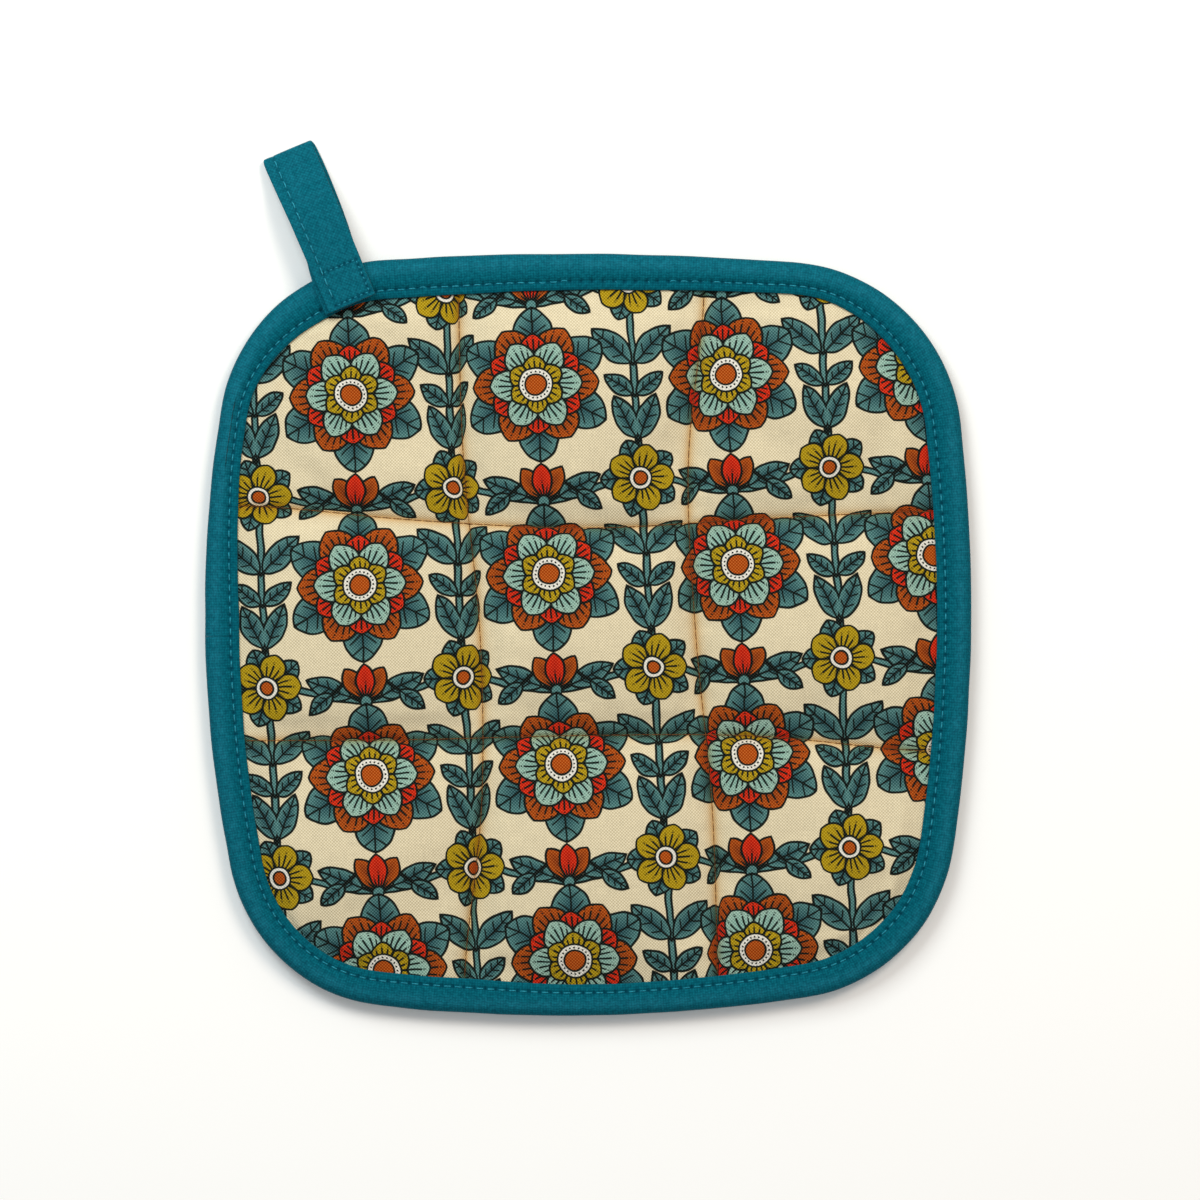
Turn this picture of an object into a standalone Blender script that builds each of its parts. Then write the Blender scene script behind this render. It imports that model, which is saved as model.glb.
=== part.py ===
"""Quilted pot holder, lying face up on a flat surface.

The pieces are a filled pad sewn into nine cells, a folded bias binding round its edge, and a
hanging loop: a strip of the binding's cloth, folded in two and sewn by both its ends to the
binding's face. Units are metres, +Z is up. The origin is the middle of the pad's underside, on the
surface that it lies on, and the loop leaves the pad at its back left corner (-X, +Y).
"""

import math
from collections import namedtuple

import bmesh
import bpy
from mathutils import Matrix, Vector

# The pad's outline runs anticlockwise through four corner arcs, joined by four slightly bowed sides
# that meet them without a kink. bow is the radius of the side that follows the corner.
Corner = namedtuple("Corner", "x y radius bow")
CORNERS = (
    Corner(x=-0.0499, y=-0.0529, radius=0.0457, bow=0.435),
    Corner(x=0.0510, y=-0.0502, radius=0.0464, bow=0.427),
    Corner(x=0.0513, y=0.0512, radius=0.0478, bow=0.759),
    Corner(x=-0.0509, y=0.0526, radius=0.0470, bow=0.338),
)

# Clearance between pieces that touch on the real object.
GAP = 0.0003

# Binding: its width on the face follows the hand that sewed it on. angle is measured round the
# pad's middle, anticlockwise from +X.
BINDING_THICK = 0.0064
BINDING_WALL = 0.00125
STITCH_FROM_EDGE = 0.0023
STITCH_DENT = 0.0002
Width = namedtuple("Width", "angle width")
BINDING_WIDTHS = (
    Width(angle=0, width=0.0092),
    Width(angle=42, width=0.0096),
    Width(angle=58, width=0.0086),
    Width(angle=90, width=0.0097),
    Width(angle=112, width=0.0104),
    Width(angle=128, width=0.0106),
    Width(angle=150, width=0.0072),
    Width(angle=180, width=0.0092),
    Width(angle=225, width=0.0086),
    Width(angle=250, width=0.0092),
    Width(angle=270, width=0.0084),
    Width(angle=315, width=0.0091),
)

# Quilting: two lines of stitching run up the pad and two run across it, and they wander. Each value
# is the line's place at the station above it, measured from the pad's middle.
LINE_STATIONS = (-0.090, -0.045, 0.000, 0.045, 0.090)
LEFT_LINE_X = (-0.0327, -0.0282, -0.0286, -0.0329, -0.0343)
RIGHT_LINE_X = (0.0343, 0.0329, 0.0286, 0.0266, 0.0308)
FRONT_LINE_Y = (-0.0280, -0.0277, -0.0266, -0.0268, -0.0308)
BACK_LINE_Y = (0.0343, 0.0304, 0.0284, 0.0308, 0.0328)
# The lines by the number of the cell that lies beyond them, from the left and from the front.
COLUMN_LINES = {1: LEFT_LINE_X, 2: RIGHT_LINE_X}
ROW_LINES = {1: FRONT_LINE_Y, 2: BACK_LINE_Y}

# Filling: the highest point of each cell, from the left to the right and from the front to the back.
CELL_TOPS = (
    (0.0086, 0.0089, 0.0087),
    (0.0088, 0.0092, 0.0089),
    (0.0085, 0.0090, 0.0086),
)
CELL_STEPS = 9
PUFF_POWER = 0.6
PUFF_ON_SURFACE = 0.55

# Hanging loop: its strip, where its sewn ends lie on the binding, and which way it points.
STRIP_WIDTH = 0.0132
STRIP_THICK = 0.0011
LOOP_ROOT = (-0.0623, 0.0877)
LOOP_LEAN = math.radians(23.0)
LOOP_REACH = 0.0447
STRIP_ROW_SPACING = 0.0012
Point = namedtuple("Point", "along height sideways")

# Precision: steps that a search takes, steps on each piece of a curve, and half the side of the unit
# grids that the cells and the strip start from.
CROSSING_STEPS = 20
HALVINGS = 40
CURVE_STEPS = 40
GRID_HALF = 0.5

EDGE_STEPS = 6
SHARP_FROM = math.radians(50)
MERGE = 1e-6
TEAL = (0.012, 0.130, 0.180, 1)
PAD_COLOUR = (0.80, 0.68, 0.48, 1)
COTTON_ROUGHNESS = 0.9
NAME = "quilted_pot_holder"

Arc = namedtuple("Arc", "centre radius start sweep")


def angle_of(vector):
    return math.atan2(vector.y, vector.x)


def side_centre(corner, following):
    """The centre of the side between two corner arcs, which meets both of them without a kink."""
    first, second = Vector((corner.x, corner.y)), Vector((following.x, following.y))
    apart = (second - first).length
    to_first, to_second = corner.bow - corner.radius, corner.bow - following.radius
    along = (to_first**2 - to_second**2 + apart**2) / (2 * apart)
    inward = math.sqrt(to_first**2 - along**2)
    direction = (second - first) / apart
    return first + direction * along + Vector((-direction.y, direction.x)) * inward


def outline_arcs():
    """The outline's eight arcs, anticlockwise from the front left corner."""
    centres = [side_centre(corner, CORNERS[(i + 1) % 4]) for i, corner in enumerate(CORNERS)]
    arcs = []
    for i, corner in enumerate(CORNERS):
        middle = Vector((corner.x, corner.y))
        following = CORNERS[(i + 1) % 4]
        start = angle_of(middle - centres[i - 1])
        turn = angle_of(middle - centres[i])
        end = angle_of(Vector((following.x, following.y)) - centres[i])
        arcs.append(Arc(middle, corner.radius, start, (turn - start) % math.tau))
        arcs.append(Arc(centres[i], corner.bow, turn, (end - turn) % math.tau))
    return arcs


ARCS = outline_arcs()
OUTLINE_LENGTH = sum(arc.radius * arc.sweep for arc in ARCS)


def corner_distance(index):
    """How far along the outline the middle of a corner's arc lies, from the first corner's."""
    before = sum(arc.radius * arc.sweep for arc in ARCS[: 2 * index])
    half = [ARCS[2 * i].radius * ARCS[2 * i].sweep / 2 for i in (0, index)]
    return before + half[1] - half[0]


def outline_at(distance):
    """The outline's point that far along it, and the direction into the pad there."""
    left = (distance + ARCS[0].radius * ARCS[0].sweep / 2) % OUTLINE_LENGTH
    for arc in ARCS:
        length = arc.radius * arc.sweep
        if left <= length:
            break
        left -= length
    angle = arc.start + left / arc.radius
    outward = Vector((math.cos(angle), math.sin(angle)))
    return arc.centre + outward * arc.radius, -outward


def binding_width(distance):
    """The binding's width on the face there, eased between the table's rows."""
    angle = math.degrees(angle_of(outline_at(distance)[0])) % 360
    rows = BINDING_WIDTHS + (Width(angle=360, width=BINDING_WIDTHS[0].width),)
    for row, following in zip(rows, rows[1:]):
        if angle <= following.angle:
            break
    share = (angle - row.angle) / (following.angle - row.angle)
    ease = share * share * (3 - 2 * share)
    return row.width + (following.width - row.width) * ease


def inset_point(distance, inset):
    point, inward = outline_at(distance)
    return point + inward * inset


def inside_edge(distance, clearance):
    """A point just clear of the binding's inner edge."""
    return inset_point(distance, binding_width(distance) + clearance)


def round_end(radius):
    """(inset, height) round the pad's edge, from its top to its underside, at this radius about the
    middle of the binding's rounded edge."""
    middle = BINDING_THICK / 2
    angles = [math.pi / 2 - math.pi * i / EDGE_STEPS for i in range(EDGE_STEPS + 1)]
    return [(middle - radius * math.cos(a), middle + radius * math.sin(a)) for a in angles]


def spaced(first, last, steps):
    return [first + (last - first) * i / steps for i in range(steps + 1)]


def line_at(values, place):
    """A quilting line's offset at this place along it: a smooth curve through its table."""
    spacing = LINE_STATIONS[1] - LINE_STATIONS[0]
    last = len(values) - 1
    at = min(max((place - LINE_STATIONS[0]) / spacing, 0.0), float(last))
    i = min(int(at), last - 1)
    share = at - i
    before, first = values[max(i - 1, 0)], values[i]
    second, after = values[i + 1], values[min(i + 2, last)]
    slope_first, slope_second = (second - before) / 2, (after - first) / 2
    return (
        first * (2 * share**3 - 3 * share**2 + 1)
        + slope_first * (share**3 - 2 * share**2 + share)
        + second * (3 * share**2 - 2 * share**3)
        + slope_second * (share**3 - share**2)
    )


def crossing(column_x, row_y):
    """Where a line that runs up the pad meets one that runs across it."""
    x, y = 0.0, 0.0
    for _ in range(CROSSING_STEPS):
        x, y = line_at(column_x, y), line_at(row_y, x)
    return Vector((x, y))


def line_end(values, upright, first, last):
    """How far along the outline a quilting line meets it, between two distances."""

    def beyond(distance):
        point = inside_edge(distance, GAP)
        across, along = (point.x, point.y) if upright else (point.y, point.x)
        return across - line_at(values, along)

    low, high = first, last
    for _ in range(HALVINGS):
        middle = (low + high) / 2
        if (beyond(middle) > 0) == (beyond(high) > 0):
            high = middle
        else:
            low = middle
    return (low + high) / 2


def edge_marks():
    """How far along the outline each side of the pad is divided by the quilting lines, from the left
    to the right and from the front to the back."""
    front_left, front_right, back_right, back_left = [corner_distance(i) for i in range(4)]
    marks = {}
    for edge, first, last, lines in (
        ("front", front_left, front_right, COLUMN_LINES),
        ("back", back_left, back_right, COLUMN_LINES),
        ("left", OUTLINE_LENGTH, back_left, ROW_LINES),
        ("right", front_right, back_right, ROW_LINES),
    ):
        upright = lines is COLUMN_LINES
        met = [line_end(line, upright, first, last) for line in lines.values()]
        marks[edge] = [first, *met, last]
    return marks


EDGE_MARKS = edge_marks()


def edge_stations():
    """Distances along the whole outline, anticlockwise: the same number for every cell's side."""
    stations = []
    for edge, backwards in (("front", False), ("right", False), ("back", True), ("left", True)):
        marks = EDGE_MARKS[edge][::-1] if backwards else EDGE_MARKS[edge]
        for first, last in zip(marks, marks[1:]):
            stations += spaced(first, last, CELL_STEPS)[:-1]
    return stations


def knot(column, row):
    """Where a column line and a row line meet, or where one of them meets the binding. Lines 0 and 3
    are the pad's own sides."""
    if column in COLUMN_LINES and row in ROW_LINES:
        return crossing(COLUMN_LINES[column], ROW_LINES[row])
    if column in COLUMN_LINES:
        return inside_edge(EDGE_MARKS["front" if row == 0 else "back"][column], GAP)
    return inside_edge(EDGE_MARKS["left" if column == 0 else "right"][row], GAP)


def along_edge(edge, i):
    distances = spaced(EDGE_MARKS[edge][i], EDGE_MARKS[edge][i + 1], CELL_STEPS)
    return [inside_edge(distance, GAP) for distance in distances]


def up_column(column, row):
    """Points along a column line, past one row of cells."""
    if column not in COLUMN_LINES:
        return along_edge("left" if column == 0 else "right", row)
    places = spaced(knot(column, row).y, knot(column, row + 1).y, CELL_STEPS)
    return [Vector((line_at(COLUMN_LINES[column], y), y)) for y in places]


def across_row(column, row):
    """Points along a row line, past one column of cells."""
    if row not in ROW_LINES:
        return along_edge("front" if row == 0 else "back", column)
    places = spaced(knot(column, row).x, knot(column + 1, row).x, CELL_STEPS)
    return [Vector((x, line_at(ROW_LINES[row], x))) for x in places]


def patch_point(sides, i, j):
    """A point of the surface stretched between a cell's four sides."""
    front, back, left, right = sides
    s, t = i / CELL_STEPS, j / CELL_STEPS
    between = front[i] * (1 - t) + back[i] * t + left[j] * (1 - s) + right[j] * s
    near = front[0] * (1 - s) + front[-1] * s
    far = back[0] * (1 - s) + back[-1] * s
    return between - near * (1 - t) - far * t


def add_cells(mesh, height_at):
    """One grid a cell, its points moved to the cell's place and to the height asked for."""
    for row, tops in enumerate(CELL_TOPS):
        for column, top in enumerate(tops):
            sides = (
                across_row(column, row),
                across_row(column, row + 1),
                up_column(column, row),
                up_column(column + 1, row),
            )
            made = bmesh.ops.create_grid(
                mesh, x_segments=CELL_STEPS, y_segments=CELL_STEPS, size=GRID_HALF
            )
            for vert in made["verts"]:
                i = round((vert.co.x + GRID_HALF) * CELL_STEPS)
                j = round((vert.co.y + GRID_HALF) * CELL_STEPS)
                crown = math.sin(math.pi * i / CELL_STEPS) * math.sin(math.pi * j / CELL_STEPS)
                height = height_at(max(crown, 0.0) ** PUFF_POWER, top)
                vert.co = patch_point(sides, i, j).to_3d() + Vector((0, 0, height))


def loft(mesh, rings, closed_length):
    """Faces between rings of points that match one to one, each ring closed on itself."""
    rows = [[mesh.verts.new(point) for point in ring] for ring in rings]
    pairs = list(zip(rows, rows[1:]))
    if closed_length:
        pairs.append((rows[-1], rows[0]))
    for row, following in pairs:
        for i in range(len(row)):
            j = (i + 1) % len(row)
            mesh.faces.new((row[i], row[j], following[j], following[i]))


def finish(name, mesh, colour, collection):
    """A bmesh made one object, with its faces outwards and its own material."""
    bmesh.ops.remove_doubles(mesh, verts=mesh.verts, dist=MERGE)
    bmesh.ops.recalc_face_normals(mesh, faces=mesh.faces)
    data = bpy.data.meshes.new(name)
    mesh.to_mesh(data)
    mesh.free()
    data.shade_smooth()
    data.set_sharp_from_angle(angle=SHARP_FROM)
    material = bpy.data.materials.new(name)
    material.use_nodes = True
    shader = material.node_tree.nodes["Principled BSDF"]
    shader.inputs["Base Color"].default_value = colour
    shader.inputs["Roughness"].default_value = COTTON_ROUGHNESS
    shader.inputs["Metallic"].default_value = 0.0
    data.materials.append(material)
    made = bpy.data.objects.new(name, data)
    collection.objects.link(made)
    return made


def quilted_pad(collection):
    """Two quilted faces and the flat edge between them, which lies inside the binding."""
    edge = round_end(BINDING_THICK / 2 - BINDING_WALL - GAP)
    sewn_top, sewn_under = edge[0][1], edge[-1][1]

    def top_height(puff, top):
        return sewn_top + (top - sewn_top) * puff

    def under_height(puff, _top):
        return sewn_under * max(0.0, 1 - puff / PUFF_ON_SURFACE)

    def level_ring(points, height):
        return [point.to_3d() + Vector((0, 0, height)) for point in points]

    mesh = bmesh.new()
    add_cells(mesh, top_height)
    add_cells(mesh, under_height)
    stations = edge_stations()
    inner = [inside_edge(distance, GAP) for distance in stations]
    rings = [level_ring(inner, sewn_top)]
    for inset, height in edge:
        rings.append(level_ring([inset_point(distance, inset) for distance in stations], height))
    rings.append(level_ring(inner, sewn_under))
    loft(mesh, rings, closed_length=False)
    return finish("quilted_pad", mesh, PAD_COLOUR, collection)


def binding(collection):
    """The folded strip round the edge: a U whose width on the face changes along it."""
    rings = []
    for distance in edge_stations():
        width = binding_width(distance)
        section = [
            (width, BINDING_THICK - STITCH_DENT),
            (width - STITCH_FROM_EDGE, BINDING_THICK - STITCH_DENT),
            *round_end(BINDING_THICK / 2),
            (width, 0.0),
            (width, BINDING_WALL),
            *round_end(BINDING_THICK / 2 - BINDING_WALL)[::-1],
            (width, BINDING_THICK - BINDING_WALL),
        ]
        rings.append([inset_point(distance, n).to_3d() + Vector((0, 0, z)) for n, z in section])
    mesh = bmesh.new()
    loft(mesh, rings, closed_length=True)
    return finish("binding", mesh, TEAL, collection)


def loop_route():
    """The strip's middle from its upper end to its lower end: (along, height, sideways). Both ends
    lie level on the binding. The upper leg arches down to the fold, and the lower leg drops past the
    pad's edge to the surface, so that the loop stands a little open."""
    lower = BINDING_THICK + GAP + STRIP_THICK / 2
    upper = lower + GAP + STRIP_THICK
    floor = STRIP_THICK / 2
    fold = STRIP_THICK + GAP / 2
    reach = LOOP_REACH - STRIP_THICK / 2
    return (
        Point(0.0, upper, 0.0),
        Point(0.0060, upper, 0.0),
        Point(0.0120, upper, 0.0),
        Point(0.0190, upper - 0.0001, 0.0),
        Point(0.0260, upper - 0.0008, 0.0),
        Point(0.0325, upper - 0.0025, 0.0),
        Point(0.0380, upper - 0.0049, 0.0),
        Point(0.0422, floor + 2 * (fold - floor) + 0.0002, 0.0),
        Point(reach, fold, 0.0),
        Point(0.0425, floor, 0.0),
        Point(0.0360, floor, 0.0004),
        Point(0.0270, floor, 0.0005),
        Point(0.0205, floor + 0.0001, 0.0004),
        Point(0.0172, floor + 0.0011, 0.0001),
        Point(0.0145, lower - 0.0034, -0.0002),
        Point(0.0115, lower - 0.0005, -0.0005),
        Point(0.0070, lower, -0.0009),
        Point(0.0, lower, -0.0009),
    )


def smooth_route(points, spacing):
    """Even points on a smooth curve through the route's own points."""
    fine = []
    for i in range(len(points) - 1):
        before, first = points[max(i - 1, 0)], points[i]
        second, after = points[i + 1], points[min(i + 2, len(points) - 1)]
        for step in range(CURVE_STEPS):
            u = step / CURVE_STEPS
            fine.append(
                Vector(
                    b + (c - a) * u / 2
                    + (2 * a - 5 * b + 4 * c - d) * u * u / 2
                    + (3 * b - a - 3 * c + d) * u**3 / 2
                    for a, b, c, d in zip(before, first, second, after)
                )
            )
    fine.append(Vector(points[-1]))
    total = sum((b - a).length for a, b in zip(fine, fine[1:]))
    count = round(total / spacing)
    even, travelled, wanted = [fine[0]], 0.0, total / count
    for a, b in zip(fine, fine[1:]):
        travelled += (b - a).length
        if travelled >= wanted - MERGE:
            even.append(b)
            wanted += total / count
    if len(even) <= count:
        even.append(fine[-1])
    return even


def hanging_loop(collection):
    """The strip as an open sheet along its route, thickened evenly to both sides."""
    route = smooth_route(loop_route(), STRIP_ROW_SPACING)
    mesh = bmesh.new()
    bmesh.ops.create_grid(mesh, x_segments=2, y_segments=len(route) - 1, size=GRID_HALF)
    for vert in mesh.verts:
        along, height, sideways = route[round((vert.co.y + GRID_HALF) * (len(route) - 1))]
        height = max(height, STRIP_THICK / 2)
        vert.co = Vector((vert.co.x * STRIP_WIDTH + sideways, along, height))
    root = Matrix.Translation((*LOOP_ROOT, 0)) @ Matrix.Rotation(LOOP_LEAN, 4, "Z")
    bmesh.ops.transform(mesh, matrix=root, verts=mesh.verts)
    loop = finish("hanging_loop", mesh, TEAL, collection)
    solid = loop.modifiers.new("Solidify", "SOLIDIFY")
    solid.thickness = STRIP_THICK
    solid.offset = 0
    solid.use_even_offset = True
    return loop


for old in list(bpy.data.objects):
    bpy.data.objects.remove(old)
holder = bpy.data.collections.new(NAME)
bpy.context.scene.collection.children.link(holder)
quilted_pad(holder)
binding(holder)
hanging_loop(holder)
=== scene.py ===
import math

import bmesh
import bpy
import numpy as np
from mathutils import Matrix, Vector, noise
from mathutils.bvhtree import BVHTree
from mathutils.kdtree import KDTree


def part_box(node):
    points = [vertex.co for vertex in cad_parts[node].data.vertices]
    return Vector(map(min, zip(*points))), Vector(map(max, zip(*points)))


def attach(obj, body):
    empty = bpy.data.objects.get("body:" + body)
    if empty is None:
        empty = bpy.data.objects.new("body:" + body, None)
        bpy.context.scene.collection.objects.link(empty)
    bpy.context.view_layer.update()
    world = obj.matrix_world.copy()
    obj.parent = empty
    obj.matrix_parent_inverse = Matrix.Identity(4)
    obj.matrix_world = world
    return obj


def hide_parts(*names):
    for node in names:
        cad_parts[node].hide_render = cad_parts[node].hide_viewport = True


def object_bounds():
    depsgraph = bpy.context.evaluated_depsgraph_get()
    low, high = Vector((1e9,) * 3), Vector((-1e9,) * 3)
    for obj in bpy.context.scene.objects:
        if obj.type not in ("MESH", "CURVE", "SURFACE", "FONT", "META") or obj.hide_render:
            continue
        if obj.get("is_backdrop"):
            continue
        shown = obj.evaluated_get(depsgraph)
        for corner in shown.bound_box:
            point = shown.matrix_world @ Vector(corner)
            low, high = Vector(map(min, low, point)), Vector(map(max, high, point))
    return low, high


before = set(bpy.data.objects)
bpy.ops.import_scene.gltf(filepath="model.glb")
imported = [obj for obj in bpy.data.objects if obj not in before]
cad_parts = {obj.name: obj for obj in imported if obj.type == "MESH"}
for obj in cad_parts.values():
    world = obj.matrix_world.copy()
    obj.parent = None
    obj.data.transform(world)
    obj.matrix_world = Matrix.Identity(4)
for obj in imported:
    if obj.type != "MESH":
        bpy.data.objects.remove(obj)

cad_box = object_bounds()

# ---- Table, lamps and view ----
# The pot holder lies face up on a plain white table, under a wide lamp at its back left and a
# farther, warmer one at its back right. The camera looks straight down.

VIEW_CENTRE = (0.0032, 0.0093)
VIEW_WIDTH = 0.3189
VIEW_LENS_MM = 200
SENSOR_MM = 36
VIEW_END = 10
TABLE_SIZE = 6.0
TABLE_WHITE = "#FFFFFE"
ROOM_WHITE = "#FFFFFF"
ROOM_STRENGTH = 0.46
LAMP_SIZE = 0.5
# Each lamp's name, its place in metres, its power in watts and its colour.
LAMPS = (
    ("key_lamp", (-0.42, 0.675, 0.76), 6.7, "#F4FDFE"),
    ("side_lamp", (0.6, 0.7, 1.1), 8.2, "#FFF0E0"),
)


def linear(code):
    """An sRGB hex colour as Blender's linear red, green, blue and alpha."""
    shares = [int(code[i : i + 2], 16) / 255 for i in (1, 3, 5)]
    return (*[s / 12.92 if s <= 0.04045 else ((s + 0.055) / 1.055) ** 2.4 for s in shares], 1.0)


def is_socket(value):
    """Whether a node's input is fed by another node."""
    return isinstance(value, bpy.types.NodeSocket)


def add(kind, *inputs, take=None, named={}, into=None, **settings):
    """Adds a node with its settings. Its kind is its type, less ShaderNode for a shader node, and
    then its operation. Its inputs, in order or by name, are values or sockets that feed them. It
    joins those sockets' tree, or else into, and gives the output take, or else the first in use."""
    kind, *operation = kind.split()
    tree = into or next(v.id_data for v in (*inputs, *named.values()) if is_socket(v))
    made = tree.nodes.new(kind if "Node" in kind else "ShaderNode" + kind)
    for name, value in (*settings.items(), *(("operation", word) for word in operation)):
        setattr(made, name, value)
    used = [socket for socket in made.inputs if socket.enabled]
    by_name = {socket.name: socket for socket in used}
    fed = [*zip(used, inputs), *((by_name[name], value) for name, value in named.items())]
    for socket, value in fed:
        if is_socket(value):
            tree.links.new(value, socket)
        else:
            socket.default_value = value
    return made.outputs[take] if take else next(s for s in made.outputs if s.enabled)


def material(name, looks):
    """A new material, its node tree and its shader, with the shader's own sockets set to looks."""
    made = bpy.data.materials.new(name)
    made.use_nodes = True
    shader = made.node_tree.nodes["Principled BSDF"]
    for socket, value in looks.items():
        shader.inputs[socket].default_value = value
    return made, made.node_tree, shader


def placed(name, data):
    """A new object of that name in the scene."""
    made = bpy.data.objects.new(name, data)
    scene.collection.objects.link(made)
    return made


def object_of(name, mesh, *finishes):
    """A bmesh made an object of that name, shaded smooth."""
    data = bpy.data.meshes.new(name)
    mesh.to_mesh(data)
    mesh.free()
    data.shade_smooth()
    for finish in finishes:
        data.materials.append(finish)
    return placed(name, data)


def table_top():
    """A plain floor of matt laminate, large enough to fill every view."""
    mesh = bmesh.new()
    bmesh.ops.create_grid(mesh, x_segments=4, y_segments=4, size=TABLE_SIZE / 2)
    looks = {"Base Color": linear(TABLE_WHITE), "Roughness": 0.8, "Specular IOR Level": 0.1}
    matt, _, _ = material("matt_white_laminate", looks)
    object_of("table_top", mesh, matt)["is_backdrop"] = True


def lamp(name, place, watts, colour):
    """A square softbox that faces the pad's middle."""
    data = bpy.data.lights.new(name, "AREA")
    data.shape = "SQUARE"
    data.size = LAMP_SIZE
    data.energy = watts
    data.color = linear(colour)[:3]
    made = placed(name, data)
    made.location = place
    made.rotation_euler = (-Vector(place)).to_track_quat("-Z", "Y").to_euler()


def camera():
    """A long lens straight above the pad."""
    data = bpy.data.cameras.new("camera")
    data.lens = VIEW_LENS_MM
    data.sensor_width = SENSOR_MM
    data.clip_end = VIEW_END
    made = placed("camera", data)
    made.location = (*VIEW_CENTRE, VIEW_WIDTH * VIEW_LENS_MM / SENSOR_MM)
    scene.camera = made


scene = bpy.context.scene
scene.view_settings.view_transform = "Standard"
world = bpy.data.worlds.new("studio")
world.use_nodes = True
room = world.node_tree.nodes["Background"].inputs
room["Color"].default_value = linear(ROOM_WHITE)
room["Strength"].default_value = ROOM_STRENGTH
scene.world = world
table_top()
for row in LAMPS:
    lamp(*row)
camera()

# ---- Quilting lines ----
# The pad is held together by four lines of stitching, two that run up it and two that run across.
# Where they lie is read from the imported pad: its surface comes down to one height along them.

WELD = 1e-6
SAME_HEIGHT = 2e-5
HEIGHT_DIGITS = 5
MM = 0.001
CURVE_STEPS = 16
LINE_SPACING = 0.5 * MM


def packed_mesh(node):
    """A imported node's loose triangles, joined."""
    mesh = bmesh.new()
    mesh.from_mesh(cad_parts[node].data)
    bmesh.ops.remove_doubles(mesh, verts=mesh.verts, dist=WELD)
    return mesh


def at_even_steps(rows, spacing):
    """Rows at even steps along the line that joins these: x, y, z and any other values."""
    steps = np.linalg.norm(np.diff(rows[:, :3], axis=0), axis=1)
    travelled = np.concatenate([[0], steps.cumsum()])
    even = np.linspace(0, travelled[-1], round(travelled[-1] / spacing) + 1)
    return np.column_stack([np.interp(even, travelled, column) for column in rows.T])


def smooth_through(rows, spacing, closed=False):
    """Rows at even steps on a smooth curve through these."""
    rows = np.asarray(rows, float)
    before, after = (rows[-1:], rows[:2]) if closed else (rows[:1], rows[-1:])
    held = np.concatenate([before, rows, after])
    a, b, c, d = (held[i : len(held) - 3 + i, None] for i in range(4))
    u = np.linspace(0, 1, CURVE_STEPS, endpoint=False)[None, :, None]
    curve = b + (c - a) * u / 2 + (2 * a - 5 * b + 4 * c - d) * u**2 / 2
    curve = curve + (3 * b - a - 3 * c + d) * u**3 / 2
    curve = np.concatenate([curve.reshape(-1, rows.shape[1]), held[-2:-1]])
    found = at_even_steps(curve, spacing)
    return found[:-1] if closed else found


def face_panel():
    """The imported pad's face, as quads out to its flat edge, and the height that it is sewn at."""
    panel = packed_mesh("quilted_pad")
    heights = np.round([v.co.z for v in panel.verts if v.co.z > bind_top / 2], HEIGHT_DIGITS)
    found, counts = np.unique(heights, return_counts=True)
    sewn = found[counts.argmax()]
    below = [v for v in panel.verts if v.co.z < sewn - SAME_HEIGHT]
    bmesh.ops.delete(panel, geom=below, context="VERTS")
    any_angle = {"angle_face_threshold": math.pi, "angle_shape_threshold": math.pi}
    bmesh.ops.join_triangles(panel, faces=panel.faces, topology_influence=1.0, **any_angle)
    return panel, sewn


def quilting_lines(panel, sewn):
    """The four lines, left to right and then front to back, each followed straight on from one side
    of the pad to the other, and whether it runs across."""

    def is_sewn(vert):
        return abs(vert.co.z - sewn) < SAME_HEIGHT

    flat_edge = {v for f in panel.faces if all(map(is_sewn, f.verts)) for v in f.verts}
    lines = []
    for first in flat_edge:
        for second in (e.other_vert(first) for e in first.link_edges):
            if second in flat_edge or not is_sewn(second):
                continue
            line = [first, second]
            while line[-1] not in flat_edge:
                here = line[-1]
                ahead = (here.co - line[-2].co).normalized()
                near = [e.other_vert(here) for e in here.link_edges]
                near = [v for v in near if is_sewn(v) and v is not line[-2]]
                line.append(max(near, key=lambda v: ahead.dot((v.co - here.co).normalized())))
            run = line[-1].co - line[0].co
            if run.x + run.y > 0:
                lines.append((run.x > run.y, np.array([v.co for v in line])))
    lines.sort(key=lambda line: (line[0], line[1][:, 0 if not line[0] else 1].mean()))
    return [(across, smooth_through(points, LINE_SPACING)) for across, points in lines]


bind_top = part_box("binding")[1].z
panel, sewn_height = face_panel()
lines = quilting_lines(panel, sewn_height)

# ---- Printed face ----
# One piece of printed quilting cotton covers the wadding. It is cut a little larger than the pad,
# and each line of quilting takes up some of it, so the print dips out of sight there.

FACE_CUTS = 3
CLOTH_FRAMES = 20
CLOTH_SLACK = 0.012
CLOTH_PRESSURE = 4.0
MOST_SWELL = 1.3 * MM
SMOOTHING = 12
CREASE_DEPTH = 0.55 * MM
CREASE_REACH = 0.8 * MM
VALLEY_DEPTH = 0.4 * MM
VALLEY_REACH = 3.2 * MM
UNEVEN = 0.35
PULL_CHANGES = 22
FOLD_HEIGHT = 0.12 * MM
FOLD_REACH = 1.6 * MM
FOLD_CHANGES = 74
FOLD_SEED = 10
PINCH = 0.5
PINCH_REACH = 1.7 * MM
TAKE_UP_REACH = 0.9 * MM
# Beside each line of quilting the cloth's colour gets a painted warm shade and reflection, as of
# the thread's colour shining out of its crease.
SEAM_REFLECTION_REACH = 0.9 * MM
PAINTED_SEAM_REFLECTION = "#F0D2A6"
# How much cloth each line takes up at its start, its middle and its end, in millimetres, and how
# strongly it pulls the cloth down there.
TAKE_UP = ((1.3, 1.7, 3.6), (4.2, 2.0, 1.6), (1.6, 1.5, 1.8), (1.5, 1.9, 1.4))
PULL = ((1.5, 1.1, 0.7), (1.4, 1.1, 0.8), (0.8, 0.8, 0.8), (0.8, 0.8, 0.8))


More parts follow.
